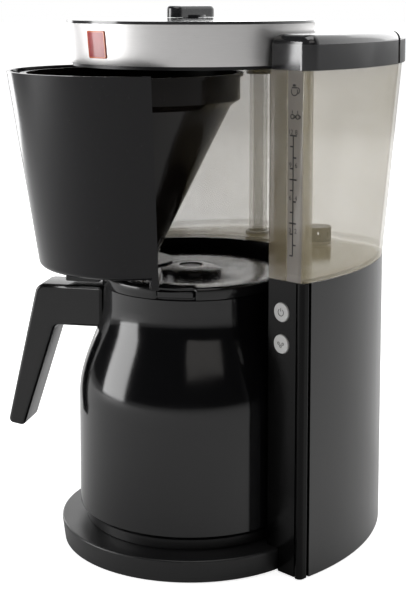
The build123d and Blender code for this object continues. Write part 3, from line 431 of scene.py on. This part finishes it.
def plates(loops, heights, insets, origin, across, up):
    """Solid plates: each loop is moved inwards by insets at the matching heights, then capped.

    A point is origin + x * across + y * up + height * outwards, with outwards = across x up.
    """
    across, up, origin = (np.array(v, float) for v in (across, up, origin))
    outwards = np.cross(across, up)
    points, faces, start = [], [], 0
    for loop in loops:
        edge = np.roll(loop, -1, axis=0) - np.roll(loop, 1, axis=0)
        side = np.stack([edge[:, 1], -edge[:, 0]], axis=1)
        side /= np.maximum(np.linalg.norm(side, axis=1, keepdims=True), 1e-9)
        rings = np.array([loop - side * inset for inset in insets])
        rise = np.array(heights)[:, None, None]
        flat = origin + rings[..., :1] * across + rings[..., 1:] * up + rise * outwards
        count = len(loop)
        points.append(flat.reshape(-1, 3))
        quads = grid_faces(len(heights), count) + start
        faces += quads.tolist()
        faces.append(list(range(start + count - 1, start - 1, -1)))
        faces.append(list(range(start + (len(heights) - 1) * count, start + len(heights) * count)))
        start += len(heights) * count
    return np.concatenate(points), faces


def arc_loop(radius, thick, start, end, middle=(0.0, 0.0), steps=24):
    """Loop of a ring segment: out along the larger arc and back along the smaller one."""
    turn = np.radians(np.linspace(start, end, steps))
    ring = np.stack([np.cos(turn), np.sin(turn)], axis=1)
    outside, inside = ring * (radius + thick / 2), ring[::-1] * (radius - thick / 2)
    return np.concatenate([outside, inside]) + middle


def moved(loop, x, y):
    """The same loop, shifted by x and y."""
    return loop + np.array([x, y])


# ---------------------------------------------------------------- level scale on the tank
scale_x = (scale_left + scale_right) / 2 - 1.2 * MM
face_y = tank_lo.y - 0.02 * MM
print_t = 0.12 * MM
first_mark, last_mark, mark_count = 0.2046, 0.2783, 12
stem = round_box(0.7 * MM, last_mark - first_mark, 0.2 * MM)
marks = [moved(stem, 0.0, (first_mark + last_mark) / 2)]
for k, height in enumerate(np.linspace(first_mark, last_mark, mark_count)):
    long_mark = k % 4 == 3
    width = 5.6 * MM if long_mark else 2.6 * MM
    offset = 0.0 if long_mark else (1.2 if k % 2 else -1.2) * MM
    marks.append(moved(round_box(width, 0.9 * MM, 0.25 * MM), offset, height))
jug_z, cups_z = 0.3062, 0.2898
marks += [
    moved(arc_loop(2.5 * MM, 0.6 * MM, 150, 390), 0.6 * MM, jug_z - 1.2 * MM),
    moved(round_box(4.6 * MM, 0.7 * MM, 0.25 * MM), 0.6 * MM, jug_z + 1.1 * MM),
    moved(round_box(2.4 * MM, 1.4 * MM, 0.6 * MM), 0.4 * MM, jug_z + 2.5 * MM),
    moved(arc_loop(1.8 * MM, 0.6 * MM, -80, 80), 2.9 * MM, jug_z - 0.6 * MM),
]
for side in (-1.0, 1.0):
    middle = 1.2 * MM + side * 2.1 * MM
    marks += [
        moved(arc_loop(1.35 * MM, 0.6 * MM, 0, 359), middle, cups_z),
        moved(arc_loop(0.8 * MM, 0.45 * MM, -90, 90), middle + 1.5 * MM, cups_z),
        moved(round_box(0.45 * MM, 1.8 * MM, 0.2 * MM), middle, cups_z + 2.9 * MM),
    ]
place = (scale_x, face_y, 0.0)
points, faces = plates(marks, (0.0, print_t), (0.0, 0.0), place, (1, 0, 0), (0, 0, 1))
add_piece("level_scale_marks", points, faces, print_dark, "housing", False)


def numerals(name, pairs, size, material, body):
    """Small flat numbers on the front face of the tank's arm: pairs of text, x and z."""
    points, faces = [], []
    for word, x, z in pairs:
        text = bpy.data.curves.new(name, "FONT")
        text.body, text.size, text.align_x, text.align_y = word, size, "CENTER", "CENTER"
        holder = bpy.data.objects.new(name, text)
        flat = bpy.data.meshes.new_from_object(holder)
        co = np.empty(len(flat.vertices) * 3)
        flat.vertices.foreach_get("co", co)
        co = co.reshape(-1, 3)
        start = sum(len(p) for p in points)
        depth = np.full(len(co), face_y - print_t)
        points.append(np.stack([x + co[:, 0], depth, z + co[:, 1]], axis=1))
        faces += [[start + v for v in polygon.vertices] for polygon in flat.polygons]
        bpy.data.objects.remove(holder)
        bpy.data.meshes.remove(flat)
    return add_piece(name, np.concatenate(points), faces, material, body, False)


pairs = []
small_and_large_cups = (("3", "2"), ("6", "4"), ("9", "6"), ("12", "8"))
for k, (left, right) in enumerate(small_and_large_cups):
    step = (last_mark - first_mark) / (mark_count - 1)
    level = first_mark + step * (k * 3 + 2) + 2.0 * MM
    pairs += [(left, scale_x - 2.2 * MM, level), (right, scale_x + 2.4 * MM, level)]
numerals("level_scale_numbers", pairs, 4.2 * MM, print_dark, "housing")

# ---------------------------------------------------------------- signs on the two buttons
buttons = (("power_button", power_lo, power_hi), ("descale_button", descale_lo, descale_hi))
for button, lo, hi in buttons:
    middle = ((lo.x + hi.x) / 2, lo.y - 0.01 * MM, (lo.z + hi.z) / 2)
    if button == "power_button":
        stroke = round_box(0.45 * MM, 2.3 * MM, 0.2 * MM)
        sign = [arc_loop(2.2 * MM, 0.45 * MM, 125, 415), moved(stroke, 0.0, 1.7 * MM)]
    else:
        drops = ((-1.8, 0.4), (0.0, -1.2), (1.8, 0.4))
        sign = [moved(arc_loop(0.75 * MM, 0.4 * MM, 0, 359), x * MM, z * MM) for x, z in drops]
    points, faces = plates(sign, (0.0, 0.08 * MM), (0.0, 0.0), middle, (1, 0, 0), (0, 0, 1))
    add_piece(button + "_sign", points, faces, print_dark, button, False)

# ---------------------------------------------------------------- jug handle and pour lever
# radii are from the jug's axis, in the upright plane that holds the handle
handle_turn = math.radians(213.5)
out_dir = np.array([math.cos(handle_turn), math.sin(handle_turn), 0.0])
neck_r = lid_hi.x - 0.5 * MM
reach = 104.0 * MM
grip_out = 126.0 * MM
bar_depth = 28.0 * MM
bar_width = 28.0 * MM
bar_edge = 2.4 * MM
lever_width = 22.0 * MM
lever_edge = 0.45 * MM


def soft_corners(points, radii, steps=9):
    """Closed outline whose corners are circular arcs of the given radii, tangent to both sides."""
    points = np.array(points, float)
    loop = []
    for k, radius in enumerate(radii):
        here = points[k]
        back, ahead = points[k - 1] - here, points[(k + 1) % len(points)] - here
        back, ahead = back / np.linalg.norm(back), ahead / np.linalg.norm(ahead)
        half_angle = math.acos(float(np.clip(back @ ahead, -1, 1))) / 2
        start = here + back * radius / math.tan(half_angle)
        end = here + ahead * radius / math.tan(half_angle)
        bisector = (back + ahead) / np.linalg.norm(back + ahead)
        middle = here + bisector * radius / math.sin(half_angle)
        a, b = start - middle, end - middle
        sweep = math.acos(float(np.clip(a @ b / radius**2, -1, 1)))
        t = np.linspace(0.0, 1.0, steps)[:, None]
        arc = (np.sin((1 - t) * sweep) * a + np.sin(t * sweep) * b) / math.sin(sweep)
        loop.append(middle + arc)
    return np.concatenate(loop)


def side_slab(name, outline, width, edge, material, body, node):
    """A bar with its outline in the handle's plane that stands for a node.

    Each edge is a quarter circle: rise = edge (1 - cos t), inset = edge (1 - sin t).
    """
    turn = np.linspace(0.0, np.pi / 2, 7)
    rise = edge * (1.0 - np.cos(turn))
    shrink = edge * (1.0 - np.sin(turn))
    heights = np.concatenate([rise, width - rise[::-1]]) - width / 2
    insets = np.concatenate([shrink, shrink[::-1]])
    points, faces = plates([outline], heights, insets, (0, 0, 0), out_dir, (0, 0, 1))
    bar = add_piece(name, points, faces, material, body)
    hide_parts(node)
    return bar


bar_top, bar_low = handle_hi.z, handle_hi.z - bar_depth
start_r = neck_r - 0.9 * MM
grip_profile = [
    (start_r, bar_low),
    (reach - 12.5 * MM, bar_low),
    (grip_out - 11.5 * MM, handle_lo.z),
    (grip_out, handle_lo.z + 2.0 * MM),
    (reach, bar_top),
    (start_r, bar_top),
]
grip_radii = np.array([0.3, 4.5, 3.2, 3.4, 7.0, 0.3]) * MM
side_slab(
    "jug_grip",
    soft_corners(grip_profile, grip_radii),
    bar_width,
    bar_edge,
    handle_black,
    "jug",
    "jug_handle",
)

lever_top = lever_hi.z
lever_out = 84.0 * MM
lever_profile = [
    (27.0 * MM, lever_top - 1.7 * MM),
    (lid_hi.x + 1.4 * MM, lever_top - 1.7 * MM),
    (lid_hi.x + 1.4 * MM, lever_lo.z),
    (lever_out, lever_lo.z),
    (lever_out, lever_lo.z + 4.6 * MM),
    (lid_hi.x + 9.0 * MM, lever_lo.z + 8.4 * MM),
    (lid_hi.x - 2.0 * MM, lever_top),
    (27.0 * MM, lever_top),
]
lever_radii = np.array([0.5, 0.8, 0.9, 1.2, 2.4, 4.0, 2.0, 0.7]) * MM
side_slab(
    "lever_cap",
    soft_corners(lever_profile, lever_radii),
    lever_width,
    lever_edge,
    handle_black,
    "pour_lever",
    "pour_lever",
)


# ---------------------------------------------------------------- jug lid with its notched collar
def turned(profile, columns):
    """Radius and height of each profile point, repeated at evenly spaced angles round the axis.

    A point is (radius cos angle, radius sin angle, height) on a (points, columns) grid.
    """
    angle = np.linspace(0.0, 2 * np.pi, columns, endpoint=False)
    radius = np.repeat(np.array(profile)[:, :1], columns, axis=1)
    height = np.repeat(np.array(profile)[:, 1:], columns, axis=1)
    return radius, height, angle


lid_top_z, collar_z = lid_hi.z, lid_hi.z - 8.2 * MM
lid_r = lid_hi.x
lid_profile = [
    (0.3 * MM, lid_top_z - 3.8 * MM),
    (13.9 * MM, lid_top_z - 3.8 * MM),
    (14.0 * MM, lid_top_z - 1.1 * MM),
    (14.4 * MM, lid_top_z - 1.0 * MM),
    (40.0 * MM, lid_top_z - 0.9 * MM),
    (45.0 * MM, lid_top_z - 0.15 * MM),
    (lid_r - 3.0 * MM, lid_top_z),
    (lid_r - 1.0 * MM, lid_top_z - 0.35 * MM),
    (lid_r - 0.2 * MM, lid_top_z - 1.1 * MM),
    (lid_r, lid_top_z - 1.9 * MM),
    (lid_r, collar_z + 0.5 * MM),
    (lid_r - 0.4 * MM, collar_z + 0.05 * MM),
    (lid_r - 1.2 * MM, collar_z),
    (lid_r - 6.9 * MM, collar_z),
    (lid_r - 6.9 * MM, lid_lo.z),
    (lid_r - 8.4 * MM, lid_lo.z),
    (lid_r - 8.6 * MM, lid_top_z - 5.0 * MM),
    (0.3 * MM, lid_top_z - 5.0 * MM),
]
notch_turn = math.radians(-53.7)
notch_half = 13.4 * MM
notch_edge = 0.7 * MM
notch_depth = 3.0 * MM
notch_drop = 0.9 * MM
lid_columns = 480
radius, height, angle = turned(lid_profile, lid_columns)
# how far each column is from the notch's middle along the rim, and 1 inside the notch
along_rim = np.abs((angle - notch_turn + np.pi) % (2 * np.pi) - np.pi) * lid_r
inside = np.clip((notch_half - along_rim) / notch_edge, 0.0, 1.0)
outer = (radius[:, 0] > lid_r - 3.5 * MM)[:, None]
cut = np.maximum(radius - (lid_r - notch_depth), 0.0) * inside
radius = np.where(outer, radius - cut, radius)
near_top = outer & (height > lid_top_z - 2.0 * MM)
height = np.where(near_top, height - notch_drop * inside, height)
points = np.stack([radius * np.cos(angle), radius * np.sin(angle), height], axis=-1)
rows, columns = radius.shape
faces = grid_faces(rows, columns)[:, ::-1].tolist()
faces.append(list(range(columns)))
faces.append(list(range(rows * columns - 1, (rows - 1) * columns - 1, -1)))
lid_piece = add_piece("jug_lid_collar", points, faces, lid_black, "jug_lid")
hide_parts("jug_lid")
notch_dir = np.array([math.cos(notch_turn), math.sin(notch_turn), 0.0])
notch_side = np.array([-math.sin(notch_turn), math.cos(notch_turn), 0.0])
tab = [round_box(23.0 * MM, 4.4 * MM, 1.0 * MM)]
origin = notch_dir * (lid_r - 3.2 * MM) + np.array([0.0, 0.0, collar_z + 3.4 * MM])
tab_heights = (0.0, 1.2 * MM, 1.9 * MM, 2.2 * MM)
tab_insets = (0.0, 0.0, 0.2 * MM, 0.7 * MM)
points, faces = plates(tab, tab_heights, tab_insets, origin, notch_side, (0, 0, 1))
add_piece("jug_lid_catch", points, faces, jug_black, "jug_lid")


# ---------------------------------------------------------------- floor and lights
def add_stage(name, points, faces, material):
    """A stage mesh from plain points and faces."""
    mesh = bpy.data.meshes.new(name)
    mesh.from_pydata(points, [], faces)
    mesh.materials.append(material)
    thing = bpy.data.objects.new(name, mesh)
    bpy.context.scene.collection.objects.link(thing)
    return thing


floor_finish = Finish("pale_floor", (0.8, 0.8, 0.8), 0.7, Specular_IOR_Level=0.0)
straight = floor_finish.node("ShaderNodeLightPath", {}, {}, "Is Camera Ray")
glow = floor_finish.mix(straight, (0.0, 0.0, 0.0), (1.0, 1.0, 1.0))
floor_finish.set("Emission Color", glow)
floor_finish.shader.inputs["Emission Strength"].default_value = 0.8
floor_half = 15.0
corners = [(x * floor_half, y * floor_half, 0.0) for x, y in ((-1, -1), (1, -1), (1, 1), (-1, 1))]
add_stage("pale_floor", corners, [(0, 1, 2, 3)], floor_finish.material)


def softbox(name, azimuth, tilt, distance, width, height, power, colour, aim=0.2):
    """A rectangular area light that looks at a point aim metres up the object's axis."""
    data = bpy.data.lights.new(name, "AREA")
    data.shape = "RECTANGLE"
    data.size, data.size_y = width, height
    data.energy = power
    data.color = colour
    lamp = bpy.data.objects.new(name, data)
    bpy.context.scene.collection.objects.link(lamp)
    middle = Vector((0.0, 0.0, aim))
    lamp.location = middle + unit(azimuth, tilt) * distance
    lamp.rotation_mode = "QUATERNION"
    lamp.rotation_quaternion = (middle - lamp.location).to_track_quat("-Z", "Y")
    return lamp


white = (1.0, 1.0, 1.0)
warm = (1.0, 0.96, 0.92)
softbox("left_softbox", -38.0, 8.0, 1.5, 0.8, 0.85, 15.0, white, aim=0.25)
softbox("left_rim", -100.0, 8.0, 1.6, 0.5, 1.0, 6.0, white)
softbox("overhead_softbox", 60.0, 80.0, 1.8, 1.4, 1.4, 13.0, white)
softbox("right_front_wall", 62.0, 34.0, 2.6, 1.8, 1.2, 5.0, warm)
softbox("back_panel", 200.0, 22.0, 2.4, 2.4, 1.4, 15.0, white)

# the room is dark at the front and bright behind; straight looks see plain white
bright_side = 186.0
room_range = (("From Min", 0.05), ("From Max", 0.97), ("To Min", 0.03), ("To Max", 1.9))
world = bpy.data.worlds.new("studio_world")
world.use_nodes = True
bpy.context.scene.world = world
tree = world.node_tree
tree.nodes.clear()
output = tree.nodes.new("ShaderNodeOutputWorld")
seen = tree.nodes.new("ShaderNodeBackground")
seen.inputs["Color"].default_value = (1.0, 1.0, 1.0, 1.0)
seen.inputs["Strength"].default_value = 1.0
studio = tree.nodes.new("ShaderNodeBackground")
studio.inputs["Strength"].default_value = 1.0
towards = tree.nodes.new("ShaderNodeTexCoord")
turn = tree.nodes.new("ShaderNodeVectorMath")
turn.operation = "DOT_PRODUCT"
tree.links.new(towards.outputs["Generated"], turn.inputs[0])
turn.inputs[1].default_value = unit(bright_side)
shade = tree.nodes.new("ShaderNodeMapRange")
shade.interpolation_type = "SMOOTHSTEP"
for label, number in room_range:
    shade.inputs[label].default_value = number
tree.links.new(turn.outputs["Value"], shade.inputs["Value"])
tree.links.new(shade.outputs["Result"], studio.inputs["Color"])
path = tree.nodes.new("ShaderNodeLightPath")
choose = tree.nodes.new("ShaderNodeMixShader")
tree.links.new(path.outputs["Is Camera Ray"], choose.inputs[0])
tree.links.new(studio.outputs[0], choose.inputs[1])
tree.links.new(seen.outputs[0], choose.inputs[2])
tree.links.new(choose.outputs[0], output.inputs["Surface"])
bpy.context.scene.view_settings.view_transform = "Standard"
